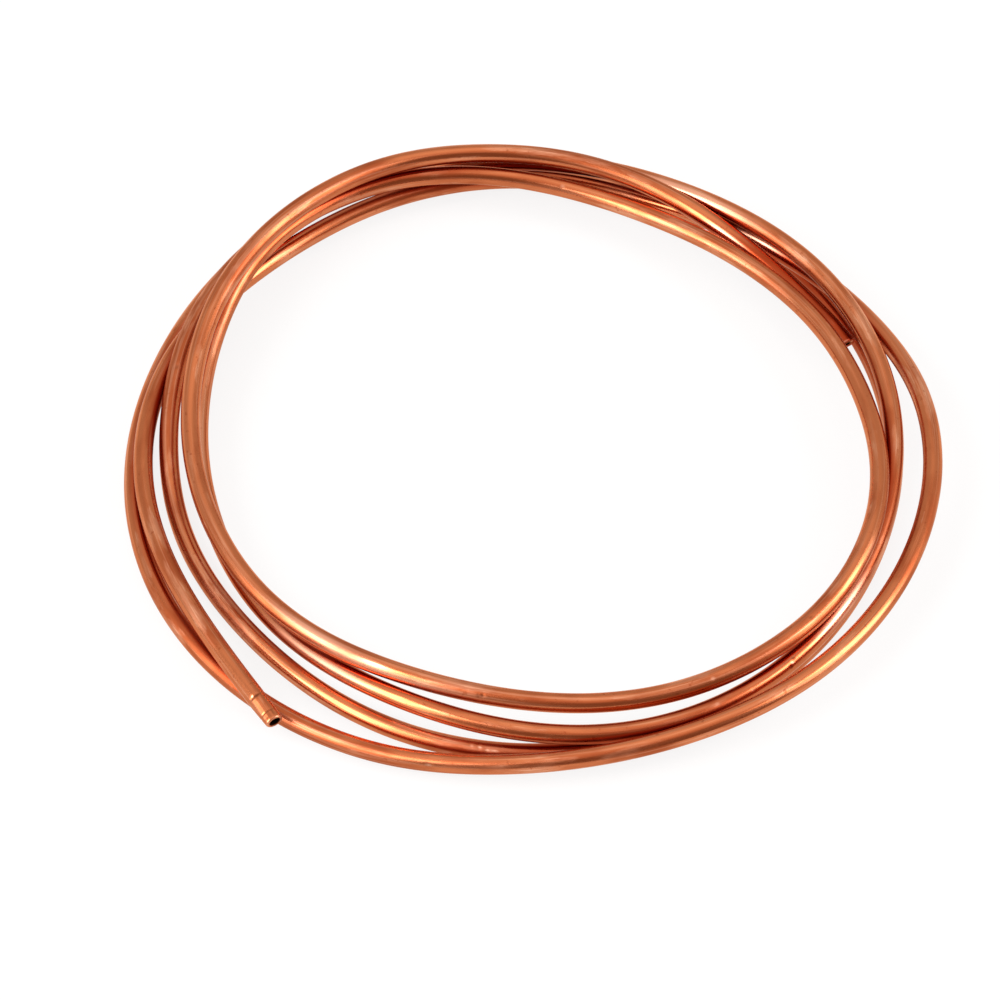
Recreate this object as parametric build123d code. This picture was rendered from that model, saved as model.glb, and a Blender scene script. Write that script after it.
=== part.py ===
from build123d import *

import math
import os

# Soft copper tube, wound by hand into a loose coil of four and a half turns and laid flat.
# All sizes are in millimetres. The floor is z = 0, and +Z is up.
tube_od = 4.0
tube_wall = 0.5
coil_radius = 72.0  # reference circle that the turns wander about, to the tube's middle
runs_per_turn = 24  # runs of the path, each joined to the next by an arc

# The tube cutter's marks at the end that lies outside, measured back from its tip
cutter_ring_distance = 6.3
cutter_ring_width = 0.5
cutter_ring_depth = 0.12
lip_ring_distance = 2.0
lip_ring_width = 0.35
lip_ring_depth = 0.1
rolled_edge = 0.18  # outer edge that the cutter's wheel rolled in
deburred_edge = 0.12  # inner edge, scraped clean

# Bearings are degrees of winding, clockwise seen from above, from the front (-Y) of the turn that
# starts first. A bearing over 360 is on a later turn.
start_angle = 35.0
end_angle = 1688.0

# How far the tube's middle lies outside the reference circle, in tube diameters. There is one
# value every 24 degrees, in one row for each turn, and a smooth curve is drawn near them.
station_angle = 24.0
side_steps = [
    [9.0, 5.2, 1.8, 1.9, 1.8, 1.2, 0.6, 0.8, 0.5, 0.3, 0.9, 2.3, 2.3, 2.6, 2.4],
    [1.9, 2.6, 2.9, 2.6, 2.1, 2.0, 2.8, 3.0, 2.4, 1.4, 0.9, 0.5, 0.0, 0.5, 0.8],
    [1.1, 0.9, -0.1, 0.4, 0.5, 1.1, 2.1, 2.1, 1.3, 0.4, 0.4, 0.2, 0.3, 0.7, 1.5],
    [0.7, -0.3, -1.2, -1.4, -1.0, 0.1, 1.4, 0.5, -1.0, -2.0, -1.6, -1.3, 0.2, 0.7, 0.0],
    [-0.8, -1.4, -0.6, -1.0, -0.6, 0.1, 0.9, 1.2, 0.4, -0.8, -0.8, -0.5, -0.2],
]

# How high the tube rides, in tube diameters above lying on the floor, as (turn, degrees, height).
# The height eases from one to the next. The second turn is the one that lies on the floor.
ride_heights = [
    (0, 35, 1.2), (0, 100, 1.0), (0, 130, 0.4), (0, 160, 0.9), (0, 180, 0.9), (0, 198, 0.2),
    (0, 228, 1.0), (0, 243, 1.1), (0, 266, 1.8), (0, 300, 1.7), (0, 340, 1.6),
    (1, 0, 0.7), (1, 20, 0.0),
    (2, 80, 0.0), (2, 108, 2.0), (2, 122, 1.7), (2, 155, 0.7), (2, 182, 1.2), (2, 203, 1.4),
    (2, 228, 2.1), (2, 262, 2.0), (2, 300, 1.1), (2, 352, 1.1),
    (3, 16, 1.4), (3, 60, 0.0), (3, 100, 0.6), (3, 128, 2.4), (3, 150, 2.2), (3, 175, 1.8),
    (3, 195, 1.2), (3, 216, 1.6), (3, 255, 2.0), (3, 290, 2.6), (3, 312, 2.2), (3, 340, 1.7),
    (4, 18, 2.0), (4, 38, 1.9), (4, 88, 2.1), (4, 118, 3.4), (4, 135, 3.4), (4, 160, 3.2),
    (4, 178, 2.5), (4, 196, 2.5), (4, 210, 1.6), (4, 228, 0.6), (4, 246, 1.1),
]

# Sizes that follow from the ones above
tube_radius = tube_od / 2
bore_radius = tube_radius - tube_wall
arc_share = 0.45  # of the shorter run, taken by the arc at each side of a corner


def side_place(bearing):
    """Tube diameters outside the reference circle, on a smooth curve through the stations."""
    values = [value for row in side_steps for value in row]
    station = bearing / station_angle
    index = int(station)
    t = station - index
    weights = [
        (1 - t) ** 3 / 6,
        (3 * t**3 - 6 * t**2 + 4) / 6,
        (-3 * t**3 + 3 * t**2 + 3 * t + 1) / 6,
        t**3 / 6,
    ]
    return sum(weight * values[index - 1 + k] for k, weight in enumerate(weights))


def ride_height(bearing):
    """Tube diameters above lying on the floor, eased between the stated heights."""
    stations = [(turn * 360 + degrees, height) for turn, degrees, height in ride_heights]
    for (start, low), (end, high) in zip(stations, stations[1:]):
        if bearing <= end:
            t = max(0.0, (bearing - start) / (end - start))
            return low + (high - low) * t * t * (3 - 2 * t)
    return stations[-1][1]


def middle_point(bearing, outset):
    """A point of the tube's middle line, moved out from the coil's axis by the factor outset."""
    radius = (coil_radius + side_place(bearing) * tube_od) * outset
    angle = math.radians(bearing)
    height = tube_radius + ride_height(bearing) * tube_od
    return Vector(-radius * math.sin(angle), -radius * math.cos(angle), height)


def route_corners():
    """Corners of the path. They lie a little outside it, because arcs cut inside corners."""
    count = round((end_angle - start_angle) / 360 * runs_per_turn)
    step = (end_angle - start_angle) / count
    half_turn = math.radians(step) / 2
    cut_inside = 2 * arc_share * half_turn / math.tan(half_turn) * (1 / math.cos(half_turn) - 1)
    outset = 1 + (1 - math.cos(half_turn) + cut_inside) / 2
    return [middle_point(start_angle + step * k, outset) for k in range(count + 1)]


def corner_arcs(corners):
    """For each corner, the largest arc that its two runs allow."""
    radii = []
    for before, corner, after in zip(corners, corners[1:], corners[2:]):
        run_in = corner - before
        run_out = after - corner
        half_turn = math.radians(run_in.get_angle(run_out)) / 2
        radii.append(arc_share * min(run_in.length, run_out.length) / math.tan(half_turn))
    return radii


def cutter_ring(distance, width, depth):
    """A shallow V groove round the tube, at a distance back from the tip."""
    outside = tube_radius + depth
    groove = Polyline(
        (outside, -distance - width),
        (tube_radius - depth, -distance),
        (outside, -distance + width),
        close=True,
    )
    return revolve(Plane.XZ * make_face(groove), Axis.Z)


def edge_ring(edge_radius, size, outward):
    """The copper missing where the edge of an end is rolled in or scraped away."""
    away = edge_radius + outward * size
    corner = Polyline(
        (away, size),
        (away, -size),
        (edge_radius, -size),
        (edge_radius - outward * size, 0),
        (edge_radius - outward * size, size),
        close=True,
    )
    return revolve(Plane.XZ * make_face(corner), Axis.Z)


corners = route_corners()
arcs = corner_arcs(corners)
path = FilletPolyline(*corners, radius=arcs)
start_plane = Plane(origin=path @ 0, z_dir=path % 0)
section = start_plane * (Circle(tube_radius) - Circle(bore_radius))
tube = sweep(section, path=path)

# Each of these is made about a tip at the origin that points along +Z
end_edges = [
    edge_ring(tube_radius, rolled_edge, 1),
    edge_ring(bore_radius, deburred_edge, -1),
]
cutter_rings = [
    cutter_ring(cutter_ring_distance, cutter_ring_width, cutter_ring_depth),
    cutter_ring(lip_ring_distance, lip_ring_width, lip_ring_depth),
]
outer_tip = Plane(origin=path @ 0, z_dir=-(path % 0))
inner_tip = Plane(origin=path @ 1, z_dir=path % 1)
for ring in end_edges + cutter_rings:
    tube -= outer_tip * ring
for ring in end_edges:
    tube -= inner_tip * ring

# The coil is stored with the middle of its box over the origin, lying on the floor
box = tube.bounding_box()
copper_tube = tube.translate(Vector(-box.center().X, -box.center().Y, -box.min.Z))

section_area = math.pi * (tube_radius**2 - bore_radius**2)
print("tube length", round(path.length, 1), "arcs", len(arcs))
print("arc radii from", round(min(arcs), 1), "to", round(max(arcs), 1))
print("volume", round(copper_tube.volume, 1), "section x length", round(section_area * path.length, 1))

os.makedirs("parts", exist_ok=True)
export_step(copper_tube, "parts/copper_tube.step")
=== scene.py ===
import math

import bpy
import numpy as np
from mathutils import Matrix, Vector


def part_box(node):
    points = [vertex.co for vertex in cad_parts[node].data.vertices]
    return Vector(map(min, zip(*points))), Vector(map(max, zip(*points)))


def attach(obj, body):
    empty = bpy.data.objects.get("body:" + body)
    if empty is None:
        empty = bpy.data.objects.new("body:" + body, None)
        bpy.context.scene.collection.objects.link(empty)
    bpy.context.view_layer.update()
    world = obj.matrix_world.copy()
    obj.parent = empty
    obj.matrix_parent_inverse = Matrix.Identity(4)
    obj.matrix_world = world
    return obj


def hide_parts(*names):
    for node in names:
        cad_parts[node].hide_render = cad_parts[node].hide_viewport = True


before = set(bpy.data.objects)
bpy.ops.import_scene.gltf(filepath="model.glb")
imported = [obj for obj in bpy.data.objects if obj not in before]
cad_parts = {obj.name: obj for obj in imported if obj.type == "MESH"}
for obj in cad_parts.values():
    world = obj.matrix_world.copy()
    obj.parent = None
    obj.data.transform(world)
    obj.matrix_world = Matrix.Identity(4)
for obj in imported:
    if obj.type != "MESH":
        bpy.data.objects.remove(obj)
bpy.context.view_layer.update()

# The copper tube's shape, in metres. Bearings are degrees of winding, clockwise seen from above,
# from the front (-Y) of the turn that starts first. Degrees round the tube run from 0, away from
# the coil's middle, to 90, on top. A pair is for the outer and the inner tip.
coil = {
    "tubeDiameter": 0.004,
    "wall": 0.0005,
    "coilRadius": 0.072,  # circle that the turns wander about
    "runsPerTurn": 24,
    "startBearing": 35,
    "stopBearing": 1688,
    "stationAngle": 24,
    # how far out of that circle the tube lies, in tube diameters, a row for each turn
    "sideSteps": [
        [9.0, 5.2, 1.8, 1.9, 1.8, 1.2, 0.6, 0.8, 0.5, 0.3, 0.9, 2.3, 2.3, 2.6, 2.4],
        [1.9, 2.6, 2.9, 2.6, 2.1, 2.0, 2.8, 3.0, 2.4, 1.3, 0.8, 0.5, 0.0, 0.5, 0.8],
        [1.1, 0.9, -0.1, 0.4, 0.5, 1.1, 2.1, 2.1, 1.3, 0.4, 0.4, 0.2, 0.3, 0.7, 1.5],
        [0.7, -0.3, -1.2, -1.4, -1.0, 0.1, 1.4, 0.5, -1.0, -2.0, -1.6, -1.3, 0.2, 0.7, 0.0],
        [-0.8, -1.4, -0.6, -1.0, -0.6, 0.1, 0.9, 1.2, 0.4, -0.7, -0.75, -0.5, -0.2],
    ],
    # how high it rides above lying on the floor, in tube diameters: (turn, degrees, height)
    "rideHeights": [
        (0, 35, 1.2), (0, 100, 1.0), (0, 130, 0.4), (0, 160, 0.9), (0, 180, 0.9), (0, 198, 0.2),
        (0, 228, 1.0), (0, 243, 1.1), (0, 266, 1.8), (0, 300, 1.7), (0, 340, 1.6),
        (1, 0, 0.7), (1, 20, 0.0),
        (2, 80, 0.0), (2, 108, 2.0), (2, 122, 1.7), (2, 155, 0.7), (2, 182, 1.2), (2, 203, 1.4),
        (2, 228, 2.1), (2, 262, 2.0), (2, 300, 1.1), (2, 352, 1.1),
        (3, 16, 1.4), (3, 60, 0.0), (3, 100, 0.6), (3, 128, 2.4), (3, 150, 2.2), (3, 175, 1.8),
        (3, 195, 1.2), (3, 216, 1.6), (3, 255, 2.0), (3, 290, 2.6), (3, 312, 2.2), (3, 340, 1.7),
        (4, 18, 2.0), (4, 38, 1.9), (4, 88, 2.1), (4, 118, 3.4), (4, 135, 3.4), (4, 160, 3.2),
        (4, 178, 2.5), (4, 196, 2.5), (4, 210, 1.6), (4, 228, 0.7), (4, 246, 1.2),
    ],
    # rings of the mesh
    "sides": 32,
    "ringSpacing": 0.0012,
    "boreSpacing": 0.0048,
    "markSpacing": 0.0002,  # closest rings at a mark
    "ringsPerMark": 3,  # in a mark's half length, if they don't come closer than that
    "markReach": 2.5,  # half lengths from a mark's middle to its last ring
    "endSpacing": 0.00012,
    "endStretch": (0.0075, 0.003),  # how far from each tip the rings are that close
    "closestRings": 0.000072,  # of rings that come closer than this, one is left out
    # how the hand-bent wall differs from a plain round one
    "ovalness": 0.00001,
    "ovalSwing": (0.6, 13, 1),  # share, radians in a metre, phase
    "ovalLean": (2.2, 21, 3),  # swing, radians in a metre, steady turning
    "handWave": 0.00001,
    # (radians in a metre, lobes round the tube, phase)
    "handWaves": [(61, 1, 0.4), (97, 3, 2.1), (149, 2, 4.0), (233, 4, 1.1)],
    "crests": (1.6, 2.1),  # the most that ovalness and handWave are multiplied by
    # tips
    "pinchLength": 0.0063,
    "pinchedHeight": (0.72, 0.5),  # share of the tube's height that is left
    "pinchedWidth": (0.93, 1.0),
    "lipLength": 0.0007,
    "lipRings": 6,
    "mouthShare": (0.74, 0.25),  # how much of the bore the rolled-in lip leaves open
    "rolledEdge": 0.00018,
    "deburredEdge": 0.00012,
    "cutFade": (0.000168, 0.000448),  # from a tip: clean copper up to here, and none from here
    "cutTone": 0.3,
    # the tube cutter's rings: distance from the outer tip, half width, depth
    "cutterRings": [(0.0063, 0.00022, 0.00011), (0.002, 0.00024, 0.00012)],
    "ringShade": -0.7,  # painted shade in them
    "ringUnevenDepth": (0.75, 0.25, 2, 1),  # round the tube: middle, swing, lobes, phase
    "ringUnevenShade": (0.7, 0.5, 3, 3.5),
    # painted shade: dark red where strands crowd, standing in for the shade and the
    # copper-in-copper reflection between them
    "crowdReach": 0.0016,  # how far past touching a strand still darkens its neighbour
    "ownStretch": 0.024,  # a strand this near along the tube doesn't count
    # stretches that lie deep under others and get more painted shade: (turn, bearing, half length,
    # share)
    "shadedUnderOthers": [(1, 238, 0.02, 0.9), (4, 234, 0.018, 0.75), (0, 230, 0.009, 0.7)],
    # dents and nicks where the photo shows them: (turn, bearing, degrees round, half length, half
    # width in degrees, depth, tone), where on a dent a tone under 0 is dirty and one over 0 is
    # rubbed bright, and on the longer patches below a tone over 0 is a painted highlight
    "marks": [
        (0, 35.8, 44, 0.0006, 9, 0.0001, -0.4),
        (0, 35.8, 74, 0.0009, 9, 0.00014, -0.7),
        (0, 35.9, 102, 0.0007, 8, 0.00012, -0.6),
        (0, 38.9, 150, 0.0008, 24, 0.00009, -0.4),
        (0, 39.1, 80, 0.0004, 14, 0.00012, -1.0),
        (0, 39.3, 56, 0.0003, 7, 0.00004, 1.0),
        (1, 14.3, 36, 0.0007, 5, 0.00006, 0.9),
        (2, 5.9, 58, 0.0009, 4, 0.00005, 0.9),
        (2, 6.9, 54, 0.0004, 5, 0.00007, 0.8),
        (2, 8.0, 66, 0.0004, 6, 0.00007, 0.8),
        (2, 9.2, 72, 0.0004, 6, 0.00007, 0.7),
        (2, 103.3, 92, 0.0006, 12, 0.0001, -0.6),
        (2, 192.3, 198, 0.0006, 14, 0.00007, -0.5),
        (2, 318.6, 66, 0.0004, 9, 0.00009, -1.0),
        (2, 319.1, 48, 0.0004, 7, 0.00003, 1.0),
        (2, 319.6, 32, 0.0005, 10, 0.00011, -1.0),
        (2, 326.7, 42, 0.0006, 6, 0.00006, 0.6),
        (2, 332.7, 72, 0.0006, 6, 0.00006, 0.6),
        (3, 20.4, 51, 0.0022, 8, 0.00006, -0.5),
        (3, 185.7, 120, 0.0006, 8, 0.00007, 0.6),
        (3, 313.0, 78, 0.0005, 8, 0.00007, -0.6),
        (3, 331.8, 60, 0.0005, 7, 0.00006, 0.9),
        (4, 8.4, 42, 0.0004, 7, 0.00008, -0.9),
        (4, 9.0, 30, 0.0004, 7, 0.00008, -0.9),
        # the pale tone of this mark is a painted highlight at the end of a highlight, over a small
        # dent
        (4, 26.8, 54, 0.003, 12, 0.00005, 0.4),
        # longer patches that are only paler or darker; the paler ones are painted highlights
        (2, 205, 125, 0.02, 36, 0, 0.6),
        (2, 306, 58, 0.008, 40, 0, 0.8),
        (3, 38, 40, 0.014, 45, 0, 0.55),
        (4, 39, 75, 0.012, 26, 0, 0.5),
        (4, 27, 15, 0.02, 28, 0, 0.4),
        (0, 306, 60, 0.014, 30, 0, -0.45),
        (3, 206, 130, 0.012, 28, 0, -0.45),
        (0, 220, 128, 0.006, 30, 0, 1.0),
        (4, 217, 150, 0.006, 26, 0, 0.6),
    ],
}


def splineWeights(t):
    return [
        (1 - t) ** 3 / 6,
        (3 * t**3 - 6 * t**2 + 4) / 6,
        (-3 * t**3 + 3 * t**2 + 3 * t + 1) / 6,
        t**3 / 6,
    ]


def sidePlace(bearings):
    values = np.array([v for row in coil["sideSteps"] for v in row])
    station = bearings / coil["stationAngle"]
    index = station.astype(int)
    weights = splineWeights(station - index)
    return sum(w * values[index - 1 + k] for k, w in enumerate(weights))


def rideHeight(bearings):
    at = np.array([turn * 360 + degrees for turn, degrees, _ in coil["rideHeights"]])
    high = np.array([h for *_, h in coil["rideHeights"]])
    index = np.clip(np.searchsorted(at, bearings) - 1, 0, len(at) - 2)
    t = np.clip((bearings - at[index]) / (at[index + 1] - at[index]), 0, 1)
    return high[index] + (high[index + 1] - high[index]) * t * t * (3 - 2 * t)


def windingCorners():
    span = coil["stopBearing"] - coil["startBearing"]
    runs = round(span / 360 * coil["runsPerTurn"])
    bearings = coil["startBearing"] + span / runs * np.arange(runs + 1)
    outset = 1 + (1 - math.cos(math.radians(span / runs))) / 3  # a spline cuts inside its corners
    radius = coil["coilRadius"] + sidePlace(bearings) * coil["tubeDiameter"]
    height = (0.5 + rideHeight(bearings)) * coil["tubeDiameter"]
    angle = np.radians(bearings)
    flat = radius * outset
    return np.stack([-flat * np.sin(angle), -flat * np.cos(angle), height], 1)


def smoothLine(corners, perRun=24):  # points of the line for each run between two corners
    first = 2 * corners[0] - corners[1]
    last = 2 * corners[-1] - corners[-2]
    ctrl = np.concatenate([[first], corners, [last]])
    weights = splineWeights(np.arange(perRun)[:, None] / perRun)
    stretches = []
    for k in range(len(corners) - 1):
        stretches.append(sum(w * ctrl[k + j] for j, w in enumerate(weights)))
    return np.concatenate(stretches + [corners[-1:]])


def alongLine(line):
    steps = np.linalg.norm(np.diff(line, axis=0), axis=1)
    return np.concatenate([[0], np.cumsum(steps)])


def centred(line):  # over the middle of the solid
    low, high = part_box("copper_tube")
    middle = (Vector(line.min(0)) + Vector(line.max(0))) / 2
    shift = (low + high) / 2 - middle
    return line + np.array([shift.x, shift.y, 0.0]), shift


tubeLine, lineShift = centred(smoothLine(windingCorners()))
lineAlong = alongLine(tubeLine)
tubeLength = lineAlong[-1]
print("tube line", round(tubeLength * 1000), "mm long")


def metresAlong(turn, bearing):
    span = coil["stopBearing"] - coil["startBearing"]
    share = (turn * 360 + bearing - coil["startBearing"]) / span
    return np.interp(share * (len(tubeLine) - 1), np.arange(len(tubeLine)), lineAlong)


def ringPlaces(spacing, fine=True):  # metres along the tube at which its mesh has a ring
    places = [np.linspace(0, tubeLength, int(tubeLength / spacing) + 1)]
    if fine:
        outerStretch, innerStretch = coil["endStretch"]
        places.append(np.arange(0, outerStretch, coil["endSpacing"]))
        places.append(tubeLength - np.arange(0, innerStretch, coil["endSpacing"]))
        for turn, bearing, _, halfLength, *_ in coil["marks"]:
            spacing = max(coil["markSpacing"], halfLength / coil["ringsPerMark"])
            reach = coil["markReach"] * halfLength
            places.append(metresAlong(turn, bearing) + np.arange(-reach, reach, spacing))
    places = np.sort(np.concatenate(places))
    places = np.clip(places, 0, tubeLength)
    keep = np.concatenate([[True], np.diff(places) > coil["closestRings"]])
    keep[-1] = True
    return places[keep]


def lineFrames(places):  # points of the line, and which way is out of the coil and up there
    at = np.stack([np.interp(places, lineAlong, tubeLine[:, k]) for k in range(3)], 1)
    slope = np.gradient(tubeLine, lineAlong, axis=0)
    tangent = np.stack([np.interp(places, lineAlong, slope[:, k]) for k in range(3)], 1)
    tangent /= np.linalg.norm(tangent, axis=1)[:, None]
    outward = np.stack([tangent[:, 1], -tangent[:, 0], np.zeros(len(places))], 1)
    outward /= np.linalg.norm(outward, axis=1)[:, None]
    outward *= np.sign((outward * at).sum(1).mean())
    upward = np.cross(tangent, outward)
    upward *= np.sign(upward[:, 2:].mean())
    return at, outward, upward


def uneven(angles, middle, swing, lobes, phase):
    return middle + swing * np.sin(lobes * angles + phase)


def markedPlaces(places, angles):
    depths = np.zeros((len(places), len(angles)))
    tones = np.zeros((len(places), len(angles)))
    for turn, bearing, degrees, halfLength, halfWidth, depth, tone in coil["marks"]:
        away = (places - metresAlong(turn, bearing))[:, None] / halfLength
        aside = ((np.degrees(angles) - degrees + 180) % 360 - 180)[None, :] / halfWidth
        mark = np.exp(-(away**2) - aside**2)
        depths = depths + depth * mark
        tones = tones + tone * mark
    for fromTip, halfWidth, depth in coil["cutterRings"]:
        groove = np.clip(1 - np.abs(places - fromTip) / halfWidth, 0, 1)[:, None]
        depths = depths + depth * groove * uneven(angles, *coil["ringUnevenDepth"])
        # painted shade in the cutter rings' grooves, uneven round the tube
        tones = tones + coil["ringShade"] * groove * uneven(angles, *coil["ringUnevenShade"])
    return depths, tones


def crowdShading(places, angles):
    # painted shade: 0 where the tube stands free, up to 1 where its side faces a strand that it
    # nearly touches
    at, outward, upward = lineFrames(places)
    nearPlaces = np.arange(0, tubeLength, coil["ringSpacing"])
    near = lineFrames(nearPlaces)[0]
    diameter = coil["tubeDiameter"]
    rows = []
    blockSize = 100  # rings worked out at a time, to spare memory
    for first in range(0, len(places), blockSize):
        block = slice(first, first + blockSize)
        away = near[None] - at[block, None]
        distance = np.linalg.norm(away, axis=2)
        gap = np.clip(distance - diameter, 0, None)
        weight = np.exp(-((gap / coil["crowdReach"]) ** 2))
        weight = weight * coil["ringSpacing"] / diameter
        weight[np.abs(places[block, None] - nearPlaces[None]) < coil["ownStretch"]] = 0
        spoke = np.cos(angles)[None, :, None] * outward[block, None]
        spoke = spoke + np.sin(angles)[None, :, None] * upward[block, None]
        toNear = away / np.maximum(distance, 1e-6)[..., None]
        facing = np.clip(np.einsum("ras,rns->ran", spoke, toNear), 0, 1)
        rows.append((facing**2 * weight[:, None]).sum(2))
    crowdShade = np.concatenate(rows)
    for turn, bearing, halfLength, share in coil["shadedUnderOthers"]:
        away = (places - metresAlong(turn, bearing))[:, None] / halfLength
        crowdShade = crowdShade + share * np.exp(-(away**2))
    return np.clip(crowdShade, 0, 1)


def surfaceRelief(places, angles):  # metres that the wall stands out
    s = places[:, None]
    a = angles[None, :]
    swing, speed, steady = coil["ovalLean"]
    lean = swing * np.sin(s * speed) + s * steady
    share, speed, phase = coil["ovalSwing"]
    out = coil["ovalness"] * (1 + share * np.sin(s * speed + phase)) * np.cos(2 * (a - lean))
    for speed, lobes, phase in coil["handWaves"]:
        out = out + coil["handWave"] / lobes * np.sin(s * speed + lobes * a + phase)
    return out - markedPlaces(places, angles)[0]


def endShare(places, length, atOuterTip, atInnerTip):  # 1 between the tips
    outer = np.clip(1 - places / length, 0, 1)
    inner = np.clip(1 - (tubeLength - places) / length, 0, 1)
    return 1 - (1 - atOuterTip) * outer - (1 - atInnerTip) * inner


def endRoll(places, size):  # metres that an edge of this size takes off at a tip
    fromEnd = np.minimum(places, tubeLength - places)
    return np.clip(size - fromEnd, 0, size)


def tubeMesh():
    sides = coil["sides"]
    angles = np.arange(sides) / sides * 2 * math.pi
    outerPlaces = ringPlaces(coil["ringSpacing"])
    borePlaces = ringPlaces(coil["boreSpacing"], fine=False)
    lipPlaces = np.linspace(coil["deburredEdge"], coil["lipLength"] * 1.2, coil["lipRings"])
    borePlaces = np.unique(np.concatenate([borePlaces, lipPlaces, tubeLength - lipPlaces]))
    radius = coil["tubeDiameter"] / 2
    bore = radius - coil["wall"]

    def rings(places, radii):
        at, outward, upward = lineFrames(places)
        high = endShare(places, coil["pinchLength"], *coil["pinchedHeight"])
        wide = endShare(places, coil["pinchLength"], *coil["pinchedWidth"])
        spoke = (wide[:, None] * np.cos(angles))[..., None] * outward[:, None]
        spoke = spoke + (high[:, None] * np.sin(angles))[..., None] * upward[:, None]
        return at[:, None] + radii[..., None] * spoke

    # taken off so that no crest leaves the drawn size
    highest = coil["ovalness"] * coil["crests"][0] + coil["handWave"] * coil["crests"][1]
    outerRadii = radius - highest - endRoll(outerPlaces, coil["rolledEdge"])[:, None]
    outerRadii = outerRadii + surfaceRelief(outerPlaces, angles)
    boreShare = endShare(borePlaces, coil["lipLength"], *coil["mouthShare"])
    scraped = endRoll(borePlaces, coil["deburredEdge"])
    boreRadii = (bore * boreShare + scraped)[:, None] + 0 * angles[None, :]
    asDrawn = (bore + scraped)[:, None] + 0 * angles[None, :]  # so that the lip isn't bore-coloured
    outer = rings(outerPlaces, outerRadii)
    inner = rings(borePlaces, boreRadii)
    points = np.concatenate([outer.reshape(-1, 3), inner.reshape(-1, 3)])
    outerSpace = straightened(outerPlaces, angles, outerRadii)
    space = np.concatenate([outerSpace, straightened(borePlaces, angles, asDrawn)])

    def band(fromRing, toRing, outward):  # quads between rings, given by the first point of each
        side = np.arange(sides)
        nextSide = (side + 1) % sides
        start = np.atleast_1d(fromRing)[:, None]
        stop = np.atleast_1d(toRing)[:, None]
        quad = np.stack([start + side, start + nextSide, stop + nextSide, stop + side], -1)
        quad = quad.reshape(-1, 4)
        return quad if outward else quad[:, ::-1]

    outerRings = np.arange(len(outerPlaces)) * sides
    boreRings = (len(outerPlaces) + np.arange(len(borePlaces))) * sides
    faces = [
        band(outerRings[:-1], outerRings[1:], True),
        band(boreRings[:-1], boreRings[1:], False),
        band(outerRings[0], boreRings[0], False),
        band(outerRings[-1], boreRings[-1], True),
    ]
    toEnd = np.minimum(outerPlaces, tubeLength - outerPlaces)
    clean, worn = coil["cutFade"]
    cut = np.clip((worn - toEnd) / (worn - clean), 0, 1)[:, None]
    outerTones = markedPlaces(outerPlaces, angles)[1]
    outerTones = outerTones * (1 - cut) + coil["cutTone"] * cut
    inBore = np.zeros(len(borePlaces) * sides)
    tones = np.concatenate([outerTones.ravel(), inBore])
    # painted shade between strands, kept on each point
    crowdShade = np.concatenate([crowdShading(outerPlaces, angles).ravel(), inBore])
    return points, np.concatenate(faces), space, tones, crowdShade


def straightened(places, angles, radii):  # the tube pulled straight along x, for its finish
    along = np.repeat(places[:, None], len(angles), 1)
    return np.stack([along, radii * np.cos(angles), radii * np.sin(angles)], -1).reshape(-1, 3)


def meshObject(name, points, faces):
    mesh = bpy.data.meshes.new(name)
    mesh.vertices.add(len(points))
    mesh.vertices.foreach_set("co", points.astype(np.float32).ravel())
    mesh.loops.add(faces.size)
    mesh.loops.foreach_set("vertex_index", faces.astype(np.int32).ravel())
    mesh.polygons.add(len(faces))
    mesh.polygons.foreach_set("loop_start", np.arange(0, faces.size, 4, dtype=np.int32))
    mesh.update(calc_edges=True)
    mesh.validate()
    mesh.polygons.foreach_set("use_smooth", np.ones(len(mesh.polygons), dtype=bool))
    piece = bpy.data.objects.new(name, mesh)
    bpy.context.scene.collection.objects.link(piece)
    return piece


points, faces, space, tones, crowdShade = tubeMesh()
tube = meshObject("copperTube", points, faces)
flow = tube.data.attributes.new("tubeSpace", "FLOAT_VECTOR", "POINT")
flow.data.foreach_set("vector", space.astype(np.float32).ravel())
for name, values in [("markTone", np.clip(tones, -1, 1)), ("crowdShade", crowdShade)]:
    layer = tube.data.attributes.new(name, "FLOAT", "POINT")
    layer.data.foreach_set("value", values.astype(np.float32))
print("tube mesh", len(faces) * 2, "triangles")


class Wire:  # a socket that can be written in sums
    def __init__(self, tree, socket=None):
        self.tree = tree
        self.socket = socket

    def make(self, kind, settings=None, sockets=None, out=0):
        node = self.tree.nodes.new(kind)
        for key, value in (settings or {}).items():
            setattr(node, key, value)
        for key, value in (sockets or {}).items():
            if isinstance(value, Wire):
                self.tree.links.new(value.socket, node.inputs[key])
            else:
                node.inputs[key].default_value = value
        return Wire(self.tree, node.outputs[out])

    def maths(self, operation, first, second):
        return self.make("ShaderNodeMath", {"operation": operation}, {0: first, 1: second})

    def __add__(self, other):
        return self.maths("ADD", self, other)

    def __radd__(self, other):
        return self.maths("ADD", other, self)

    def __sub__(self, other):
        return self.maths("SUBTRACT", self, other)

    def __rsub__(self, other):
        return self.maths("SUBTRACT", other, self)

    def __mul__(self, other):
        return self.maths("MULTIPLY", self, other)

    def __rmul__(self, other):
        return self.maths("MULTIPLY", other, self)


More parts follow.
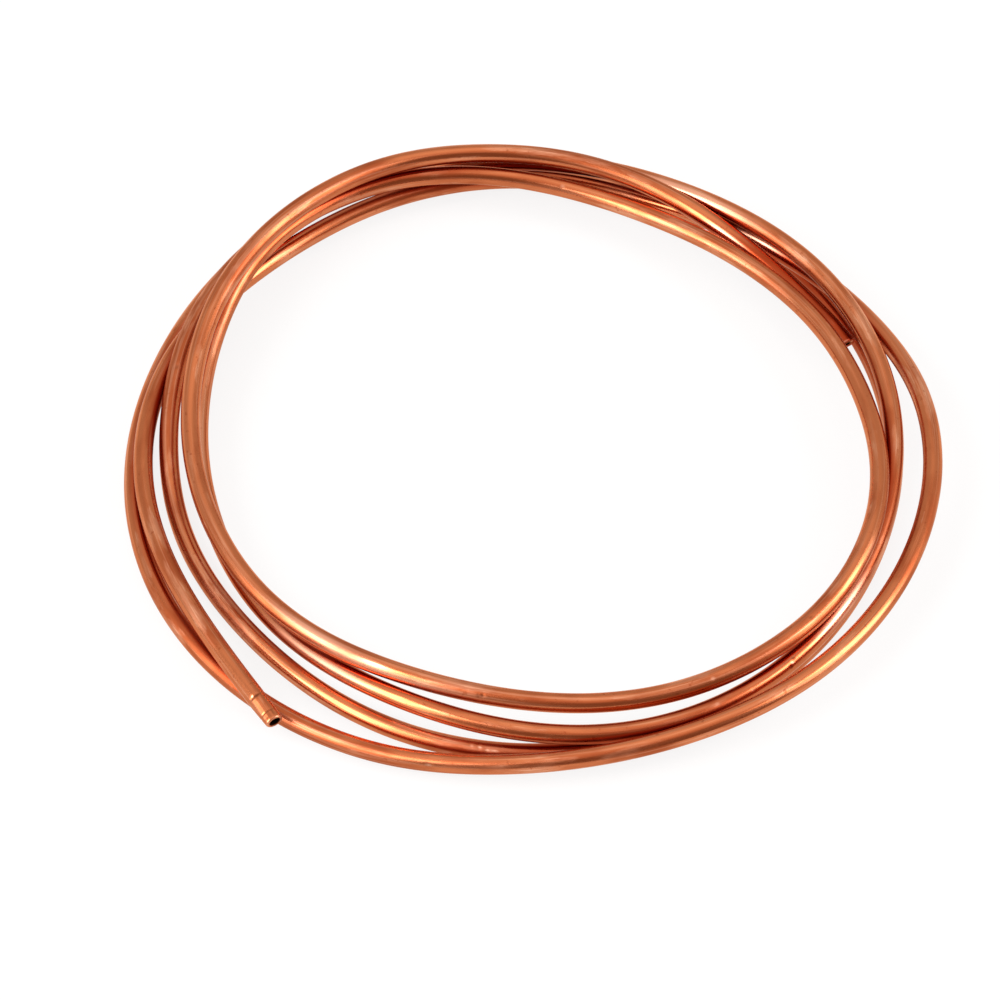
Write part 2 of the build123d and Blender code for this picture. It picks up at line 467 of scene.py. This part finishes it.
copper = {
    "fresh": (0.6, 0.176, 0.069, 1),
    "tarnished": (0.38, 0.08, 0.026, 1),
    "bright": (0.88, 0.45, 0.28, 1),
    # painted shade colour for where strands crowd
    "crowdShadeColour": (0.34, 0.032, 0.007, 1),  # deep red where one strand faces another
    # bare copper where cut or rubbed, and painted highlight on the paler patches
    "scraped": (0.92, 0.5, 0.34, 1),
    # dirt in the nicks, and painted shade in the cutter rings
    "grimyAndShaded": (0.13, 0.03, 0.012, 1),
    "boreColour": (0.07, 0.015, 0.007, 1),
    "edgeTint": (1.0, 0.78, 0.64, 1),
    "roughness": (0.18, 0.4),
    "rubbedRoughness": 0.08,  # added where the tube is rubbed
    "boreRoughness": 0.6,
    "streakStrength": 0.45,
    "streakDepth": 0.00006,
    # noises in waves per metre: along the tube, across it, detail, roughness
    "drawLines": (22, 1500, 4, 0.6),  # long fine lines that the die left
    "hairLines": (90, 5200, 2, 0.5),
    "smallClouds": (75, 300, 3, 0.5),
    "largeClouds": (17, 110, 2, 0.5),
    "spots": (900, 900, 2, 0.5),
    "rubbing": (60, 320, 4, 0.6),
    "scratches": (150, 4400, 2, 0.5),
    # where each begins and is full, and how much of its colour it then gives
    "patchRange": (0.45, 0.6),
    "patchShare": 0.85,
    "lineRange": (0.52, 0.7),
    "lineShare": 0.4,
    "rubbedRange": (0.55, 0.68),
    "rubbedShare": 0.3,
    "scratchRange": (0.57, 0.66),
    "scratchShare": 0.7,
    "spotRange": (0.67, 0.74),
    "spotShare": 0.6,
    "crowdShadeRange": (0.12, 0.9),
    "crowdShadeShare": 0.82,
    "grimeAndShadeRange": (-0.1, -1.0),
    "grimeAndShadeShare": 0.8,
    "scrapedAndHighlightRange": (0.1, 0.8),
    "boreRange": (0.0017, 0.0016),  # metres from the tube's middle
    "dullRange": (0.25, 0.75),
    # how much each noise adds
    "cloudShares": (0.6, 0.4),  # small and large clouds
    "dullShares": (0.6, 0.4),  # draw lines and tarnish
    "heightShares": (0.75, 0.1, 0.5),  # draw lines, hair lines and clouds
}


def mixed(share, first, second):
    sockets = {"Factor": share, 6: first, 7: second}  # 6 and 7 are A and B of a colour mix
    return share.make("ShaderNodeMix", {"data_type": "RGBA"}, sockets, out=2)


def copperFinish(settings):
    material = bpy.data.materials.new("drawnCopper")
    material.use_nodes = True
    tree = material.node_tree
    shader = tree.nodes["Principled BSDF"]
    start = Wire(tree)
    place = start.make("ShaderNodeAttribute", {"attribute_name": "tubeSpace"}, out=1)

    def stretched(along, across):
        sockets = {0: place, 1: (along, across, across)}
        return start.make("ShaderNodeVectorMath", {"operation": "MULTIPLY"}, sockets)

    def noise(name):
        along, across, detail, roughness = settings[name]
        sockets = {"Vector": stretched(along, across), "Scale": 1.0}
        sockets.update({"Detail": detail, "Roughness": roughness})
        return start.make("ShaderNodeTexNoise", None, sockets)

    def window(value, low, high):
        sockets = {"Value": value, "From Min": low, "From Max": high}
        return start.make("ShaderNodeMapRange", {"clamp": True}, sockets)

    def painted(name):
        return start.make("ShaderNodeAttribute", {"attribute_name": name}, out=2)

    drawLines = noise("drawLines")
    hairLines = noise("hairLines")
    small, large = settings["cloudShares"]
    clouds = noise("smallClouds") * small + noise("largeClouds") * large
    patches = window(clouds, *settings["patchRange"])
    spots = window(noise("spots"), *settings["spotRange"])
    rubbed = window(noise("rubbing"), *settings["rubbedRange"])
    scratches = window(noise("scratches"), *settings["scratchRange"]) * rubbed
    paleLines = window(drawLines, *settings["lineRange"])
    crowdShade = window(painted("crowdShade"), *settings["crowdShadeRange"])
    tone = painted("markTone")
    grimeAndShade = window(tone, *settings["grimeAndShadeRange"])
    scraped = window(tone, *settings["scrapedAndHighlightRange"])
    acrossOnly = {0: stretched(0, 1)}  # leaves the place along the tube out
    fromMiddle = start.make("ShaderNodeVectorMath", {"operation": "LENGTH"}, acrossOnly, out=1)
    inBore = window(fromMiddle, *settings["boreRange"])

    colour = mixed(patches * settings["patchShare"], settings["fresh"], settings["tarnished"])
    colour = mixed(paleLines * settings["lineShare"], colour, settings["bright"])
    colour = mixed(rubbed * settings["rubbedShare"], colour, settings["bright"])
    colour = mixed(scratches * settings["scratchShare"], colour, settings["bright"])
    colour = mixed(spots * settings["spotShare"], colour, settings["tarnished"])
    # painted shade: deep red where one strand faces another
    colour = mixed(crowdShade * settings["crowdShadeShare"], colour, settings["crowdShadeColour"])
    # dirt in the nicks and painted shade in the cutter rings, and the darker patches
    colour = mixed(grimeAndShade * settings["grimeAndShadeShare"], colour, settings["grimyAndShaded"])
    # cut and rubbed copper, and painted highlights where the mark tone is over 0
    colour = mixed(scraped, colour, settings["scraped"])
    colour = mixed(inBore, colour, settings["boreColour"])

    smooth, rough = settings["roughness"]
    lines, stains = settings["dullShares"]
    dullness = window(drawLines * lines + patches * stains, *settings["dullRange"])
    dull = smooth + (rough - smooth) * dullness + rubbed * settings["rubbedRoughness"]
    dull = dull + (settings["boreRoughness"] - dull) * inBore
    lines, hairs, lumps = settings["heightShares"]
    height = drawLines * lines + hairLines * hairs + clouds * lumps
    sockets = {"Strength": settings["streakStrength"], "Distance": settings["streakDepth"]}
    bump = start.make("ShaderNodeBump", None, {**sockets, "Height": height})

    tree.links.new(colour.socket, shader.inputs["Base Color"])
    tree.links.new(dull.socket, shader.inputs["Roughness"])
    tree.links.new(bump.socket, shader.inputs["Normal"])
    shader.inputs["Metallic"].default_value = 1.0
    shader.inputs["Specular Tint"].default_value = settings["edgeTint"]
    return material


tube.data.materials.append(copperFinish(copper))
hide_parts("copper_tube")
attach(tube, "root")
print("copper finish done")

studio = {
    "floorSize": 6.0,
    "floorColour": (0.86, 0.86, 0.86, 1),
    "floorGlow": 0.84,  # share of the floor that is seen as plain white
    "skyInMetal": 0.25,  # share of the white backdrop in what metal shows of the sky
    "skyLevel": 0.63,
    "overheadLevel": 0.72,
    "overheadFrom": (0.62, 0.99),
    "darkLevel": 0.56,
    "darkTowards": (160, 25),  # degrees from +Y towards +X, and elevation
    "darkSpread": (0.35, 0.95),
    "skyColour": (1.0, 0.97, 0.93, 1),
    "darkColour": (1.0, 0.58, 0.38, 1),
    # name, degrees from +Y towards +X, elevation, distance, width, height, radiance
    "lamps": [
        ("leftSoftbox", -119, 32, 1.3, 1.15, 1.3, 2.35),
        ("leftBulb", -122, 36, 1.25, 0.5, 0.85, 5.2),
        ("rightSoftbox", 98, 29, 1.3, 0.95, 1.15, 2.2),
        ("rightBulb", 94, 31, 1.25, 0.38, 0.7, 5.6),
    ],
}


def seenBackdrop(start, inMetal):
    camera = start.make("ShaderNodeLightPath", out=0)  # Is Camera Ray
    outputs = camera.socket.node.outputs
    metal = Wire(start.tree, outputs["Is Glossy Ray"]) * inMetal
    glass = Wire(start.tree, outputs["Is Transmission Ray"])
    return camera.maths("MAXIMUM", camera.maths("MAXIMUM", camera, metal), glass)


def addFloor():
    half = studio["floorSize"] / 2
    corners = np.array([[-half, -half, 0], [half, -half, 0], [half, half, 0], [-half, half, 0]])
    floor = meshObject("floor", corners, np.array([[0, 1, 2, 3]]))
    material = bpy.data.materials.new("paleFloor")
    material.use_nodes = True
    tree = material.node_tree
    tree.nodes.remove(tree.nodes["Principled BSDF"])
    start = Wire(tree)
    paint = start.make("ShaderNodeBsdfDiffuse", None, {"Color": studio["floorColour"]})
    glow = start.make("ShaderNodeEmission", None, {"Color": (1, 1, 1, 1), "Strength": 1.0})
    share = seenBackdrop(start, 1.0) * studio["floorGlow"]
    surface = start.make("ShaderNodeMixShader", None, {0: share, 1: paint, 2: glow})
    tree.links.new(surface.socket, tree.nodes["Material Output"].inputs["Surface"])
    floor.data.materials.append(material)


def towards(azimuth, elevation):
    a, e = math.radians(azimuth), math.radians(elevation)
    return Vector((math.sin(a) * math.cos(e), math.cos(a) * math.cos(e), math.sin(e)))


def addSky():
    world = bpy.data.worlds.new("studioSky")
    bpy.context.scene.world = world
    world.use_nodes = True
    tree = world.node_tree
    background = tree.nodes["Background"]
    start = Wire(tree)
    direction = start.make("ShaderNodeTexCoord", out=0)

    def lobe(azimuth, elevation, spread):
        ends = {0: direction, 1: tuple(towards(azimuth, elevation))}
        facing = start.make("ShaderNodeVectorMath", {"operation": "DOT_PRODUCT"}, ends, out=1)
        sockets = {"Value": facing, "From Min": spread[0], "From Max": spread[1]}
        return start.make("ShaderNodeMapRange", {"interpolation_type": "SMOOTHSTEP"}, sockets)

    dark = lobe(*studio["darkTowards"], studio["darkSpread"])
    overhead = lobe(0, 90, studio["overheadFrom"])
    level = studio["skyLevel"] + overhead * studio["overheadLevel"] - dark * studio["darkLevel"]
    seen = seenBackdrop(start, studio["skyInMetal"])
    strength = level + (1.0 - level) * seen
    colour = mixed(dark, studio["skyColour"], studio["darkColour"])
    colour = mixed(seen, colour, (1, 1, 1, 1))
    tree.links.new(strength.socket, background.inputs["Strength"])
    tree.links.new(colour.socket, background.inputs["Color"])


def addLamps():
    for name, azimuth, elevation, distance, width, height, radiance in studio["lamps"]:
        toLamp = towards(azimuth, elevation)
        light = bpy.data.lights.new(name, "AREA")
        light.shape = "RECTANGLE"
        light.size, light.size_y = width, height
        light.energy = radiance * math.pi * width * height  # watts
        lamp = bpy.data.objects.new(name, light)
        lamp.location = toLamp * distance
        lamp.rotation_euler = toLamp.to_track_quat("Z", "Y").to_euler()
        bpy.context.scene.collection.objects.link(lamp)


addFloor()
addSky()
addLamps()
print("studio done")

view = {
    "elevation": 50,
    "lens": 180,
    "sensor": 36,
    "distance": 5000 / 19.6,  # in tube diameters: focal length over the tube's width, in pixels
    "centrePixel": (533, 462),  # where the middle of the winding stands in the picture
    "pictureSize": 1000,
}


def addCamera():
    camera = bpy.data.objects.new("camera", bpy.data.cameras.new("camera"))
    camera.data.lens = view["lens"]
    camera.data.sensor_width = view["sensor"]
    e = math.radians(view["elevation"])
    right = Vector((1, 0, 0))
    up = Vector((0, math.sin(e), math.cos(e)))
    back = Vector((0, -math.cos(e), math.sin(e)))
    depth = view["distance"] * coil["tubeDiameter"]
    perPixel = depth * view["sensor"] / view["lens"] / view["pictureSize"]
    half = view["pictureSize"] / 2
    aside = (view["centrePixel"][0] - half) * perPixel
    below = (view["centrePixel"][1] - half) * perPixel
    centre = Vector((lineShift.x, lineShift.y, 0))
    camera.location = centre + back * depth - right * aside + up * below
    camera.rotation_euler = (math.pi / 2 - e, 0, 0)
    bpy.context.scene.collection.objects.link(camera)
    bpy.context.scene.camera = camera


addCamera()
bpy.context.scene.view_settings.view_transform = "Standard"
